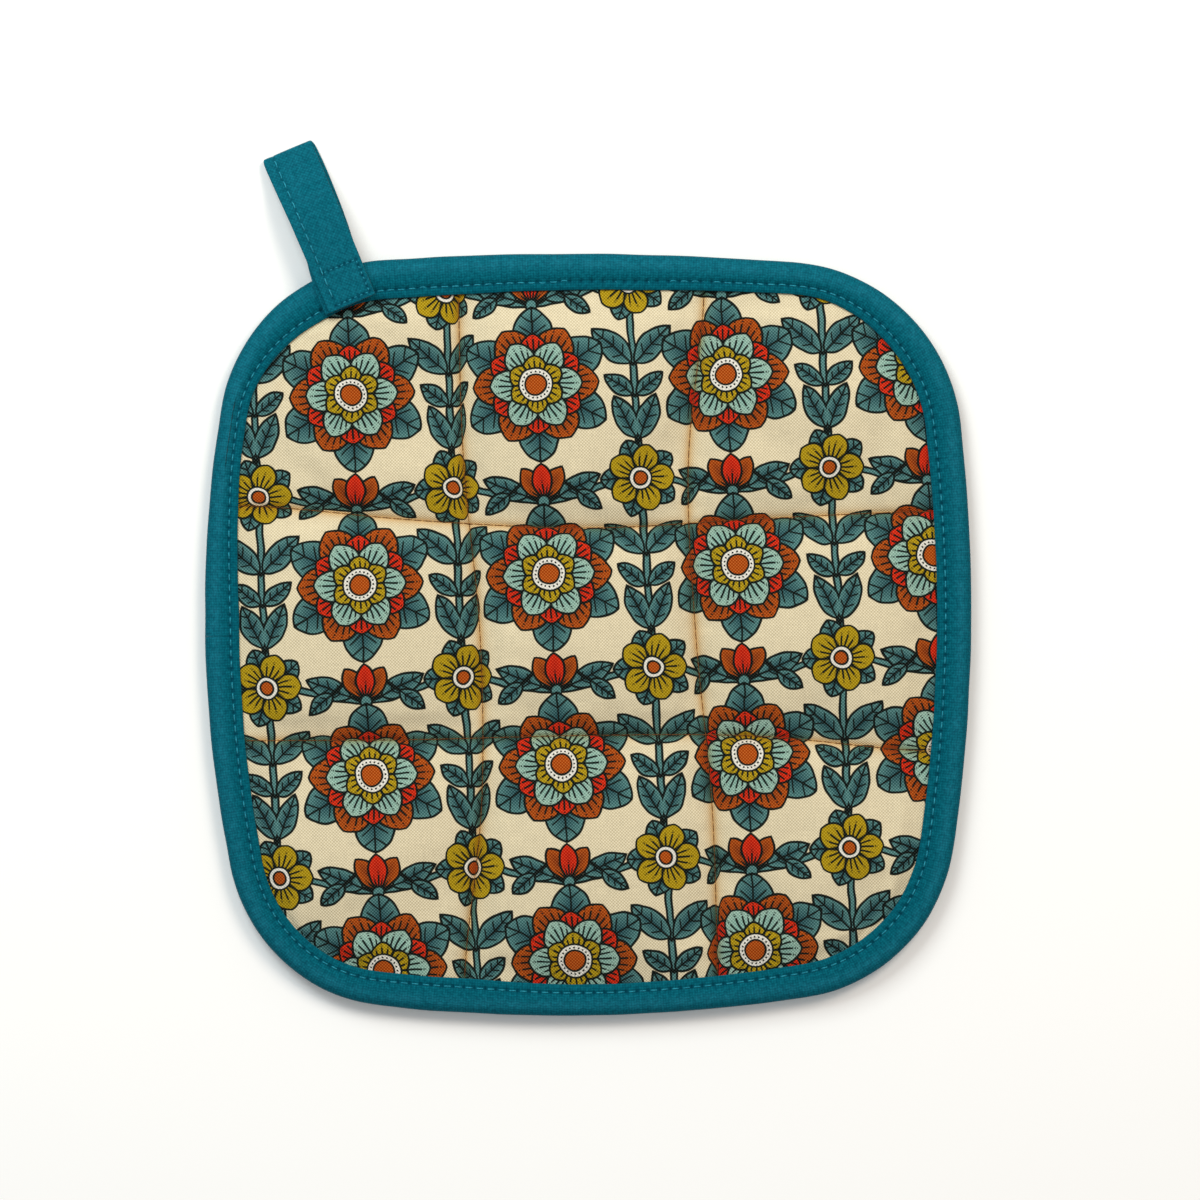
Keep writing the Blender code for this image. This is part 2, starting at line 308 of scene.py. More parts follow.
def places(data):
    """All the mesh's points, one row each."""
    found = np.empty(len(data.vertices) * 3, np.float32)
    data.vertices.foreach_get("co", found)
    return found.reshape(-1, 3).astype(float)


def move(data, found):
    """Puts the mesh's points at new places."""
    data.vertices.foreach_set("co", found.astype(np.float32).ravel())
    data.update()


def keep_result(made):
    """The object's mesh becomes what its modifiers make of it."""
    graph = bpy.context.evaluated_depsgraph_get()
    result = bpy.data.meshes.new_from_object(made.evaluated_get(graph))
    made.modifiers.clear()
    made.data = result


def hold_seams(made):
    """Marks the points that the quilting and the binding hold down."""
    held = np.flatnonzero(places(made.data)[:, 2] < sewn_height + SAME_HEIGHT)
    made.vertex_groups.new(name="sewn").add(held.tolist(), 1, "ADD")


def puff_up(made):
    """Blows the slack cloth up between its seams, as the wadding does."""
    start = places(made.data)
    settings = made.modifiers.new("Cloth", "CLOTH").settings
    settings.vertex_group_mass = "sewn"
    settings.quality = 6
    settings.mass = 0.15
    settings.tension_stiffness = 20
    settings.compression_stiffness = 20
    settings.shear_stiffness = 8
    settings.bending_stiffness = 0.4
    settings.shrink_min = -CLOTH_SLACK
    settings.use_pressure = True
    settings.uniform_pressure_force = CLOTH_PRESSURE
    settings.effector_weights.gravity = 0
    for number in range(1, CLOTH_FRAMES + 1):
        scene.frame_set(number)
    keep_result(made)
    found = places(made.data)
    rise = found[:, 2] - start[:, 2]
    found[:, 2] = start[:, 2] + MOST_SWELL * np.tanh(rise / MOST_SWELL)
    move(made.data, found)
    scene.frame_set(1)


def offsets(found):
    """For each quilting line: the axis across it, how far each point lies from it along that axis,
    and how far along the line, from 0 to 1."""
    for across, line in lines:
        run, side = (0, 1) if across else (1, 0)
        aside = found[:, side] - np.interp(found[:, run], line[:, run], line[:, side])
        share = np.interp(found[:, run], line[[0, -1], run], (0, 1))
        yield side, aside, share


def uneven(share, changes, seed, spots_each=8, off_grid=0.5, gain=1.6):
    """Values between about -1 and 1 that change that many times along a line."""
    spots = np.linspace(0, 1, spots_each * changes)
    values = [noise.noise((spot * changes, seed, off_grid)) for spot in spots]
    return np.interp(share, spots, values) * gain


def draw_in(found):
    """Each line of quilting draws the cloth together beside it and pulls it down into a crease, a
    little unevenly, with small puckers at its stitches."""
    drawn = found.copy()
    for side, aside, _ in offsets(found):
        drawn[:, side] -= aside * PINCH * np.exp(-((aside / PINCH_REACH) ** 2))
    for number, (_, aside, share) in enumerate(offsets(drawn)):
        pull = np.interp(share, (0, 0.5, 1), PULL[number])
        depth = CREASE_DEPTH * pull * (1 + UNEVEN * uneven(share, PULL_CHANGES, number))
        drawn[:, 2] -= depth * np.exp(-np.abs(aside) / CREASE_REACH)
        drawn[:, 2] -= VALLEY_DEPTH * pull * np.exp(-np.abs(aside) / VALLEY_REACH)
        near = np.abs(aside) / FOLD_REACH
        folds = uneven(share + np.abs(aside) / 2, FOLD_CHANGES, number + FOLD_SEED)
        drawn[:, 2] += FOLD_HEIGHT * folds * near * np.exp(1 - near)
    return drawn


def flat_places(drawn):
    """Where each point lay on the flat cloth, in millimetres, before the quilting took it up."""
    flat = drawn.copy()
    for (side, aside, share), amounts in zip(offsets(drawn), TAKE_UP):
        amount = np.interp(share, (0, 0.5, 1), amounts) * MM
        taken = 1 - np.exp(-np.abs(aside) / TAKE_UP_REACH)
        flat[:, side] += np.sign(aside) * amount / 2 * taken
    flat[:, 2] = 0
    return flat / MM


def keep_attributes(data, **attributes):
    """Values that a material reads by name, one row a point."""
    for name, values in attributes.items():
        kind, field = ("FLOAT_VECTOR", "vector") if values.ndim == 2 else ("FLOAT", "value")
        layer = data.attributes.new(name, kind, "POINT")
        layer.data.foreach_set(field, values.astype(np.float32).ravel())


def close_behind(data, height):
    """Closes a panel into a solid with a flat side at that height, for its half of the filling."""
    mesh = bmesh.new()
    mesh.from_mesh(data)
    rim = [edge for edge in mesh.edges if edge.is_boundary]
    made = bmesh.ops.extrude_edge_only(mesh, edges=rim)["geom"]
    for vert in (part for part in made if isinstance(part, bmesh.types.BMVert)):
        vert.co.z = height
    new_rim = [part for part in made if isinstance(part, bmesh.types.BMEdge)]
    bmesh.ops.contextual_create(mesh, geom=new_rim)
    bmesh.ops.recalc_face_normals(mesh, faces=mesh.faces)
    mesh.to_mesh(data)
    mesh.free()
    data.shade_smooth()


def near_seam(drawn):
    """1 on a line of quilting, falling to 0 a few millimetres from it."""
    return np.max([np.exp(-np.abs(aside) / SEAM_REFLECTION_REACH) for _, aside, _ in offsets(drawn)], axis=0)


# The print, a generic flower garden drawn in ink and filled with flat colours: a straight grid of
# large rosettes, posies between them, leafy stems that run up and garlands with buds that run
# across. All its sizes are in millimetres of flat cloth.

PRINT_REPEAT = 52.0
PRINT_TURN = math.radians(-3.0)
PRINT_SHIFT = (9.0, -17.0, 0.0)
SHAKE_SCALE = 0.16
SHAKE = (0.9, 0.9, 0)
INK_WIDTH = 0.62
INK_SOFTNESS = 0.08
FAN_LINE = 0.25
MIDRIB_LINE = 0.25
VEIN_LINE = 0.2
VEIN_SLANT = 0.8
VEIN_STEP = 0.12
VEIN_SPREAD = 0.75
VEIN_ENDS = (0.62, 0.7)
STEM_HALF = 0.8
GARLAND_SAG = 4.6
GARLAND_HALF_WAVE = 40
BUD_FOOT = 4.9
DOT_RING = (3.5, 20, 0.5)
CREAM = "#EEE3C7"
INK = "#08211F"
TEAL_LEAF = "#6E9A98"
TEAL_SHADE = "#36636A"
AQUA = "#B2CDBF"
AQUA_SHADE = "#9CC0B5"
MUSTARD = "#C2A91F"
RUST = "#C36A19"
RUST_SHADE = "#9F5218"
RED = "#DF4316"
RED_SHADE = "#CB3710"
PRINT_WHITE = "#F1EEE4"
LEAF = (TEAL_LEAF, TEAL_SHADE)
# Leaves and buds: foot, heading in degrees, length, width, fill and heart, and then the lines and
# fullness of those that aren't plain leaves.
STEM_LEAVES = (
    ((0.5, -15.5), 66, 12.5, 5.6, *LEAF),
    ((0.5, -4.0), 38, 9.0, 4.6, *LEAF),
    ((0.5, 4.5), 44, 13.5, 6.4, *LEAF),
)
GARLAND_LEAVES = (
    ((4.0, -3.6), 24, 12.5, 5.6, *LEAF),
    ((9.0, -2.6), -38, 8.0, 4.2, *LEAF),
    ((0, -4.6), 58, 10.0, 5.2, RUST, RUST_SHADE, (0.34, 0.45), 1.2),
    ((0, -4.6), 90, 9.6, 5.0, RED, RED_SHADE, (0.34, 0.45), 1.2),
)
# Rings of petals, outermost first: how many, turned by how many half steps, foot, reach, width,
# fullness, fill, heart and lines. The lines are a leaf's, or a fan's spread and length.
POSY_PETALS = (
    (5, 1, 2.0, 10.4, 6.2, 1.0, *LEAF, "leaf"),
    (5, 0, 0.0, 9.0, 6.8, 1.4, MUSTARD, MUSTARD, (0.3, 0.7)),
)
ROSETTE_PETALS = (
    (6, 1, 6.0, 20.5, 10.6, 1.0, *LEAF, "leaf"),
    (6, 0, 2.0, 16.6, 10.4, 1.2, RUST, RUST_SHADE, (0.16, 0.84)),
    (6, 1, 2.0, 13.2, 7.8, 1.2, RED, RED_SHADE, (0.16, 0.88)),
    (6, 0, 1.0, 12.2, 8.2, 1.2, AQUA, AQUA_SHADE, (0.2, 0.8)),
    (6, 1, 0.0, 7.6, 6.0, 1.2, MUSTARD, MUSTARD, (0.28, 0.82)),
)
# Flowers' middles, as bands of (outer radius, colour) from the middle outwards.
BUD_BANDS = ((1.3, TEAL_LEAF), (1.85, INK))
POSY_BANDS = ((1.5, RUST), (2.0, INK), (2.7, PRINT_WHITE), (3.2, INK))
ROSETTE_BANDS = ((2.5, RUST), (3.0, INK), (4.2, PRINT_WHITE), (4.7, INK))


def ramp(value, *stops):
    """A colour ramp through (position, hex colour, opacity) stops: its colour, then its opacity."""
    colour = add("ValToRGB", value)
    elements = colour.node.color_ramp.elements
    while len(elements) < len(stops):
        elements.new(1.0)
    for element, (position, code, opacity) in zip(elements, sorted(stops)):
        element.position = position
        element.color = (*linear(code)[:3], opacity)
    return colour, colour.node.outputs["Alpha"]


def paint(cloth, depth, fill, heart, thick, lines=None):
    """Paints a shape over the cloth, with an ink line along its edge. depth is how far inside that
    edge a place lies, and the fill turns to the heart's colour at a depth of thick. lines is where
    more ink lies on the fill."""
    outside, edge = 0.5, INK_WIDTH / 2
    share = add("MapRange", depth, -outside, thick)
    stops = [
        ((outside + at) / (outside + thick), code, opacity)
        for at, code, opacity in (
            (-edge - INK_SOFTNESS, INK, 0),
            (-edge + INK_SOFTNESS, INK, 1),
            (edge - INK_SOFTNESS, INK, 1),
            (edge + INK_SOFTNESS, fill, 1),
            (thick, heart, 1),
        )
    ]
    colour, opacity = ramp(share, *stops)
    if lines:
        colour = add("Mix", lines, colour, linear(INK), data_type="RGBA")
    return add("Mix", opacity, cloth, colour, data_type="RGBA")


def line_mask(gap, half_width):
    """1 within half_width of a line, 0 away from it."""
    return add("MapRange", gap, half_width + INK_SOFTNESS, half_width - INK_SOFTNESS)


def fan_lines(share, aside, length, step, until):
    """Ink lines that fan out from a petal's foot, and end in a dash and a dot."""
    back = add("Math MULTIPLY", share, length)
    slope = add("Math DIVIDE", aside, back)
    gap = add("Math MULTIPLY", add("Math PINGPONG", slope, step / 2), back)
    dash, dot, blur = (0.035, 0.06), (0.085, 0.1), 0.005
    stops = [(0.0, INK, 1), (until, INK, 1), (until + 2 * blur, INK, 0)]
    for start, end in (dash, dot):
        stops += [
            (until + start, INK, 0),
            (until + start + blur, INK, 1),
            (until + end, INK, 1),
            (until + end + blur, INK, 0),
        ]
    inked = add("Math MULTIPLY_ADD", slope, slope, share)
    _, drawn = ramp(inked, *stops)
    return add("Math MULTIPLY", line_mask(gap, FAN_LINE), drawn)


def leaf_lines(share, aside, length, width):
    """A leaf's midrib, and the veins that slant away from it."""
    slanted = add("Math MULTIPLY_ADD", aside, -VEIN_SLANT / length, share)
    folded = add("Math PINGPONG", slanted, VEIN_STEP)
    gap = add("Math MULTIPLY", folded, length * VEIN_SPREAD)
    out = add("Math DIVIDE", aside, width / 2)
    last, gone = VEIN_ENDS
    _, drawn = ramp(out, (0.0, INK, 1), (last, INK, 1), (gone, INK, 0))
    veins = add("Math MULTIPLY", line_mask(gap, VEIN_LINE), drawn)
    return add("Math MAXIMUM", veins, line_mask(aside, MIDRIB_LINE))


def almond(cloth, along, aside, foot, reach, width, skew, fill, heart, veins, border=None):
    """Paints a petal or leaf, pointed at both ends: it lies between foot and reach along its own
    axis, and a skew above 1 makes it fullest towards its tip."""
    length, half = reach - foot, width / 2
    bend = (length**2 / 4 + half**2) / (2 * half)
    share = add("MapRange", along, foot, reach, clamp=False)
    stretched = add("Math MULTIPLY", add("Math POWER", share, skew), length)
    spot = add("CombineXYZ", stretched, aside)
    gap = add("VectorMath DISTANCE", spot, (length / 2, half - bend, 0))
    depth = add("Math SUBTRACT", bend, gap)
    if border:
        depth = add("Math MINIMUM", depth, border)
    if veins == "leaf":
        lines = leaf_lines(share, aside, length, width)
    else:
        lines = fan_lines(share, aside, length, *veins)
    return paint(cloth, depth, fill, heart, half, lines)


def flower_at(place):
    """The place round a flower's middle, as an angle and a radius."""
    x = add("SeparateXYZ", place)
    angle = add("Math ARCTAN2", x.node.outputs["Y"], x)
    return angle, add("VectorMath LENGTH", place)


def petals(cloth, flower, count, turn, foot, reach, width, skew, fill, heart, veins):
    """A ring of petals. Where two overlap, an ink line parts them."""
    angle, radius = flower
    sector = math.pi / count
    folded = add("Math PINGPONG", add("Math ADD", angle, turn * sector), sector)
    cosine, sine = add("Math COSINE", folded), add("Math SINE", folded)
    along, aside = add("Math MULTIPLY", radius, cosine), add("Math MULTIPLY", radius, sine)
    spot = add("CombineXYZ", along, aside)
    normal = (math.sin(sector), -math.cos(sector), 0)
    border = add("VectorMath DOT_PRODUCT", spot, normal)
    return almond(cloth, along, aside, foot, reach, width, skew, fill, heart, veins, border)


def leaf(cloth, place, foot, heading, length, width, fill, heart, veins="leaf", skew=0.9):
    """A leaf, or a bud's petal, that grows from its foot."""
    turn = (0, 0, math.radians(heading))
    local = add("Mapping", place, (*foot, 0), turn, vector_type="TEXTURE")
    along = add("SeparateXYZ", local)
    aside = add("Math ABSOLUTE", along.node.outputs["Y"])
    return almond(cloth, along, aside, 0, length, width, skew, fill, heart, veins)


def disc(cloth, radius, bands):
    """A flower's middle."""
    outer = bands[-1][0] + 1
    stops = [(0.0, bands[0][1], 1)]
    for (edge, code), (_, next_code) in zip(bands, (*bands[1:], (0, None))):
        stops.append(((edge - INK_SOFTNESS) / outer, code, 1))
        stops.append(((edge + INK_SOFTNESS) / outer, next_code or code, 1 if next_code else 0))
    share = add("Math DIVIDE", radius, outer)
    colour, opacity = ramp(share, *stops)
    return add("Mix", opacity, cloth, colour, data_type="RGBA")


def ring_dots(cloth, flower, ring, count, size):
    """Ink dots round a flower's middle."""
    angle, radius = flower
    folded = add("Math PINGPONG", angle, math.pi / count)
    aside = add("Math MULTIPLY", folded, ring)
    out = add("Math SUBTRACT", radius, ring)
    gap = add("VectorMath LENGTH", add("CombineXYZ", out, aside))
    dots = line_mask(gap, size / 2)
    return add("Mix", dots, cloth, linear(INK), data_type="RGBA")


def mirrored(place):
    """The place with its left half folded on to its right."""
    x = add("SeparateXYZ", place)
    return add("CombineXYZ", add("Math ABSOLUTE", x), x.node.outputs["Y"])


def stem(cloth, off):
    """A stem along a line: off is how far a place lies to one side of it."""
    depth = add("Math SUBTRACT", STEM_HALF, add("Math ABSOLUTE", off))
    return paint(cloth, depth, TEAL_LEAF, TEAL_LEAF, STEM_HALF)


def tiled(place, shift):
    """The place from the nearest point of the print's grid, moved by shares of a repeat."""
    half = PRINT_REPEAT / 2
    moved = [-share * PRINT_REPEAT for share in shift]
    at = add("VectorMath ADD", place, (*moved, 0))
    return add("VectorMath WRAP", at, (half, half, 1), (-half, -half, -1))


def flower_print(cloth_place):
    """The whole print over plain cream cloth, drawn with a slightly unsteady hand."""
    drawn = add("Mapping", cloth_place, PRINT_SHIFT, (0, 0, PRINT_TURN))
    shake = add("TexNoise", drawn, SHAKE_SCALE, 1.0, noise_dimensions="2D", take="Color")
    hand = add("VectorMath MULTIPLY_ADD", shake, SHAKE, drawn)
    cloth = linear(CREAM)

    upright = tiled(hand, (0.5, 0))
    cloth = stem(cloth, add("SeparateXYZ", upright))
    pair = mirrored(upright)
    for row in STEM_LEAVES:
        cloth = leaf(cloth, pair, *row)

    across = mirrored(tiled(hand, (0, 0.5)))
    x = add("SeparateXYZ", across)
    swing = add("Math COSINE", add("Math MULTIPLY", x, math.pi / GARLAND_HALF_WAVE))
    cloth = stem(cloth, add("Math MULTIPLY_ADD", swing, GARLAND_SAG, x.node.outputs["Y"]))
    for row in GARLAND_LEAVES:
        cloth = leaf(cloth, across, *row)
    _, radius = flower_at(tiled(hand, (0, 0.5 - BUD_FOOT / PRINT_REPEAT)))
    cloth = disc(cloth, radius, BUD_BANDS)

    for shift, rings, bands in (
        ((0.5, 0.5), POSY_PETALS, POSY_BANDS),
        ((0, 0), ROSETTE_PETALS, ROSETTE_BANDS),
    ):
        flower = flower_at(tiled(hand, shift))
        for ring in rings:
            cloth = petals(cloth, flower, *ring)
        cloth = disc(cloth, flower[1], bands)
    return ring_dots(cloth, flower, *DOT_RING)


# The cotton's threads, in millimetres: a little coarser than real ones, so that they show, and a
# little askew to the print. The yarns' thick and thin places are 16 times as long as wide.
QUILTING_WEAVE = 0.42
WEAVE_TURN = -0.045
SLUB_STRETCHES = ((0.25, 4.0, 1.0), (4.0, 0.25, 1.0))
SLUB_SCALE = 0.9
SLUB_SHADES = (0.955, 1.03)
NOISE_RANGE = (0.3, 0.7)
# Matt cotton cloth has a wide, weak highlight and a faint fuzz at grazing angles.
MATT_COTTON = {
    "Roughness": 0.88,
    "Specular IOR Level": 0.08,
    "Sheen Weight": 0.06,
    "Sheen Roughness": 0.4,
}


def plain_weave(cloth_place, pitch, turn):
    """A plain weave's height, from -1 in its gaps to 1 on its threads."""
    turned = add("Mapping", cloth_place, (0, 0, 0), (0, 0, turn), (math.pi / pitch,) * 3)
    warp = add("SeparateXYZ", add("VectorMath SINE", turned))
    return add("Math MULTIPLY", warp, warp.node.outputs["Y"])


def weave_over(shader, colour, height, depth, bounces, crown_highlight, relief):
    """Paints shade into the gaps of a weave, where light bounces from thread to thread and takes up
    more of their colour, paints a highlight on the crowns of its threads, and gives the cloth its
    relief."""
    # Painted shade in the weave's gaps, deepened in colour as by light bounced between threads.
    lit = add("MapRange", height, -1.0, 1.0, 1 - depth, 1.0)
    power = add("MapRange", height, -1.0, 1.0, 1 + bounces, 1.0)
    deepened = add("Gamma", colour, power)
    shaded = add("VectorMath MULTIPLY", deepened, lit)
    # A painted highlight on the threads' crowns.
    crowns = add("Math MAXIMUM", height, 0.0)
    shaded = add("VectorMath MULTIPLY_ADD", crowns, linear(crown_highlight)[:3], shaded)
    sizes = {"Height": height, "Distance": relief, "Strength": 1.0}
    for made, socket in ((shaded, "Base Color"), (add("Bump", named=sizes), "Normal")):
        shader.id_data.links.new(made, shader.inputs[socket])


def printed_cotton():
    """Plain-weave quilting cotton, screen printed in flat colours: matt, with the weave showing
    through the ink, and a painted warm shade where the thread's colour reflects back out of a
    crease."""
    made, tree, shader = material("printed_quilting_cotton", MATT_COTTON)
    place = add("Attribute", attribute_name="cloth_mm", take="Vector", into=tree)
    colour = flower_print(place)
    # Painted warm shade and reflection, strongest on each line of quilting.
    seam = add("Attribute", attribute_name="near_seam", take="Fac", into=tree)
    seam_reflection = add("Mix", seam, linear("#FFFFFF"), linear(PAINTED_SEAM_REFLECTION), data_type="RGBA")
    colour = add("VectorMath MULTIPLY", colour, seam_reflection)
    for stretch in SLUB_STRETCHES:
        yarn = add("VectorMath MULTIPLY", place, stretch)
        slub = add("TexNoise", yarn, SLUB_SCALE, 2.0, noise_dimensions="2D")
        lit = add("MapRange", slub, *NOISE_RANGE, *SLUB_SHADES)
        colour = add("VectorMath MULTIPLY", colour, lit)
    weave = plain_weave(place, QUILTING_WEAVE, WEAVE_TURN)
    weave_over(shader, colour, weave, depth=0.27, bounces=0.74, crown_highlight="#32322C", relief=0.06 * MM)
    return made


bmesh.ops.subdivide_edges(panel, edges=panel.edges, cuts=FACE_CUTS, use_grid_fill=True)
face = object_of("printed_face", panel)
hold_seams(face)
puff_up(face)
finer = face.modifiers.new("Subdivision", "SUBSURF")
finer.levels = finer.render_levels = 1
eased = face.modifiers.new("Smooth", "SMOOTH")
eased.vertex_group = "sewn"
eased.invert_vertex_group = True
eased.iterations = SMOOTHING
keep_result(face)
quilted = draw_in(places(face.data))
move(face.data, quilted)
keep_attributes(face.data, cloth_mm=flat_places(quilted), near_seam=near_seam(quilted))
face_open = face.data.copy()
close_behind(face.data, bind_top / 2)
face.data.materials.append(printed_cotton())
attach(face, "root")
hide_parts("quilted_pad")

# ---- Backing ----
# The underside is one piece of plain natural cotton, quilted by the same lines. Its puffs lie
# flattened on the table.

BACK_PUFF = 0.85
FLATTEN = 0.25 * MM
NATURAL = "#DDD2B4"
NATURAL_SHADE = "#D3C6A6"
NATURAL_SLUBS = 0.8


def plain_cotton():
    """Unprinted quilting cotton, matt, with slightly uneven threads."""
    made, tree, shader = material("natural_cotton", MATT_COTTON)
    place = add("Attribute", attribute_name="cloth_mm", take="Vector", into=tree)
    slub = add("TexNoise", place, NATURAL_SLUBS, 3.0, noise_dimensions="2D")
    least, most = NOISE_RANGE
    colour, _ = ramp(slub, (least, NATURAL_SHADE, 1), (most, NATURAL, 1))
    weave = plain_weave(place, QUILTING_WEAVE, 0.0)
    weave_over(shader, colour, weave, depth=0.1, bounces=0.1, crown_highlight="#22221E", relief=0.05 * MM)
    return made


def backing_panel():
    """The face's panel turned over: its relief points down and stops at the table."""
    mesh = bmesh.new()
    mesh.from_mesh(face_open)
    sewn_under = bind_top - sewn_height
    for vert in mesh.verts:
        below = sewn_under - BACK_PUFF * (vert.co.z - sewn_height)
        vert.co.z = (below + math.hypot(below, FLATTEN)) / 2
    bmesh.ops.reverse_faces(mesh, faces=mesh.faces)
    return object_of("backing", mesh, plain_cotton())


backing = backing_panel()
close_behind(backing.data, bind_top / 2)
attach(backing, "root")
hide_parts("quilted_pad")

# ---- Quilting thread ----
# A rust polyester thread runs along each line, drawn tight in its crease. Its stitches pass from
# one needle hole to the next, on the face and on the back.

QUILT_PITCH = 2.7 * MM
QUILT_THREAD = 0.22 * MM
QUILT_RISE = 0.22 * MM
QUILT_LENGTH = 0.92
QUILT_SUNK = 0.2 * QUILT_THREAD
GUIDE_SPACING = 2.0 * MM
TWIST_SCALE = 2200.0
STITCH_STEPS = 6
THREAD_SIDES = 6


def thread(name, colour, shade):
    """Spun polyester sewing thread: a soft sheen, and its twist as a change of colour."""
    looks = {**MATT_COTTON, "Roughness": 0.6, "Sheen Weight": 0.1}
    made, tree, shader = material(name, looks)
    place = add("TexCoord", take="Object", into=tree)
    twist = add("TexNoise", place, TWIST_SCALE, 2.0)
    mixed, _ = ramp(twist, (0.35, shade, 1), (0.65, colour, 1))
    relief = add("Bump", named={"Height": twist, "Distance": 0.04 * MM})
    tree.links.new(mixed, shader.inputs["Base Color"])
    tree.links.new(relief, shader.inputs["Normal"])
    return made


def stitch_tree():
    """Lays one arched thread on each edge of a mesh, whose corners are the needle holes."""
    tree = bpy.data.node_groups.new("stitches", "GeometryNodeTree")
    tree.is_modifier = True
    for name, kind, value in (
        ("Needle Holes", "Geometry", None),
        ("Thread Thickness", "Float", 0.0004),
        ("Length Share", "Float", 0.9),
        ("Rise", "Float", 0.0003),
        ("Sway", "Float", 0.05),
        ("Seed", "Int", 1),
        ("Thread", "Material", None),
    ):
        kind = "NodeSocket" + kind
        socket = tree.interface.new_socket(name, in_out="INPUT", socket_type=kind)
        if value is not None:
            socket.default_value = value
    tree.interface.new_socket("Stitches", in_out="OUTPUT", socket_type="NodeSocketGeometry")
    given = tree.nodes.new("NodeGroupInput").outputs

    first = add("GeometryNodeInputMeshEdgeVertices", take="Position 1", into=tree)
    second = first.node.outputs["Position 2"]
    run = add("VectorMath SUBTRACT", second, first)
    noted = {"Geometry": given["Needle Holes"], "Name": "run", "Value": run}
    vector = {"data_type": "FLOAT_VECTOR", "into": tree}
    noted = add("GeometryNodeStoreNamedAttribute", named=noted, domain="EDGE", **vector)
    middles = add("GeometryNodeMeshToPoints", noted, mode="EDGES")
    run = add("GeometryNodeInputNamedAttribute", "run", take="Attribute", **vector)
    ahead = add("FunctionNodeAlignRotationToVector", named={"Vector": run}, axis="X")
    least = add("Math MULTIPLY", given["Sway"], -1.0)
    limits = {"Min": least, "Max": given["Sway"], "Seed": given["Seed"]}
    sway = add("FunctionNodeRandomValue", named=limits, data_type="FLOAT")
    turn = add("FunctionNodeEulerToRotation", add("CombineXYZ", 0.0, 0.0, sway))
    facing = add("FunctionNodeRotateRotation", ahead, turn, rotation_space="LOCAL")
    length = add("Math MULTIPLY", add("VectorMath LENGTH", run), given["Length Share"])
    size = add("CombineXYZ", length, 1.0, 1.0)
    start, end = (-0.5, 0.0, 0.0), (0.5, 0.0, 0.0)
    handles = [add("CombineXYZ", x, 0.0, given["Rise"]) for x in (-0.4, 0.4)]
    arch = "GeometryNodeCurvePrimitiveBezierSegment"
    arch = add(arch, STITCH_STEPS, start, *handles, end)
    radius = add("Math MULTIPLY", given["Thread Thickness"], 0.5)
    outline = add("GeometryNodeCurvePrimitiveCircle", THREAD_SIDES, radius)
    swept = {"Curve": arch, "Profile Curve": outline, "Fill Caps": True}
    stitch = add("GeometryNodeCurveToMesh", named=swept)
    laid = {"Points": middles, "Instance": stitch, "Rotation": facing, "Scale": size}
    made = add("GeometryNodeInstanceOnPoints", named=laid)
    made = add("GeometryNodeRealizeInstances", made)
    finish = {"Geometry": made, "Material": given["Thread"]}
    made = add("GeometryNodeSetMaterial", named=finish)
    tree.links.new(made, tree.nodes.new("NodeGroupOutput").inputs[0])
    return tree


def sew(name, slot, rows, *looks):
    """Stitches between each row's needle holes, all in one piece. looks are the thread's thickness,
    a stitch's share of the way between its holes, its rise and the thread's material."""
    data = bpy.data.meshes.new(name)
    corners, edges = [], []
    for row in rows:
        first = len(corners)
        corners += [tuple(hole[:3]) for hole in row]
        edges += [(i, i + 1) for i in range(first, len(corners) - 1)]
    data.from_pydata(corners, edges, [])
    made = placed(name, data)
    stitches = made.modifiers.new("Stitches", "NODES")
    stitches.node_group = STITCHES
    for socket, value in zip(("Thread Thickness", "Length Share", "Rise", "Thread"), looks):
        stitches[STITCHES.interface.items_tree[socket].identifier] = value
    keep_result(made)
    made.data.shade_smooth()
    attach(made, "root")
    return made


def surface_of(made):
    """A made piece, ready to be asked where a straight line meets it."""
    return BVHTree.FromObject(made, bpy.context.evaluated_depsgraph_get())


def laid_on(row, surfaces, side, sunk=0.0, least=0.0):
    """The row's places moved straight up (side 1) or down (side -1) to the outermost surface there,
    less the depth that they are sunk by, and at least so high."""
    moved = []
    for x, y in np.asarray(row)[:, :2]:
        start, towards = Vector((x, y, side)), Vector((0, 0, -side))
        hits = [surface.ray_cast(start, towards)[0] for surface in surfaces]
        height = side * max(side * hit.z for hit in hits if hit)
        moved.append((x, y, max(height - side * sunk, least)))
    return np.array(moved)


STITCHES = stitch_tree()
rust_thread = thread("rust_thread", "#7E4A20", "#4A2A12")
every = round(GUIDE_SPACING / LINE_SPACING)
quilt_holes = [smooth_through(line[::every], QUILT_PITCH) for _, line in lines]
for name, panel_made, side in (("face_quilting", face, 1), ("back_quilting", backing, -1)):
    surface = surface_of(panel_made)
    rows = [laid_on(row, [surface], side, QUILT_SUNK) for row in quilt_holes]
    sew(name, "quilting_thread", rows, QUILT_THREAD, QUILT_LENGTH, side * QUILT_RISE, rust_thread)

# ---- Binding ----
# A strip of teal cotton, cut on the bias and folded double, wraps the pad's edge and is topstitched
# through everything near its inner edge. The stitches pucker it, and its outer half stays round.

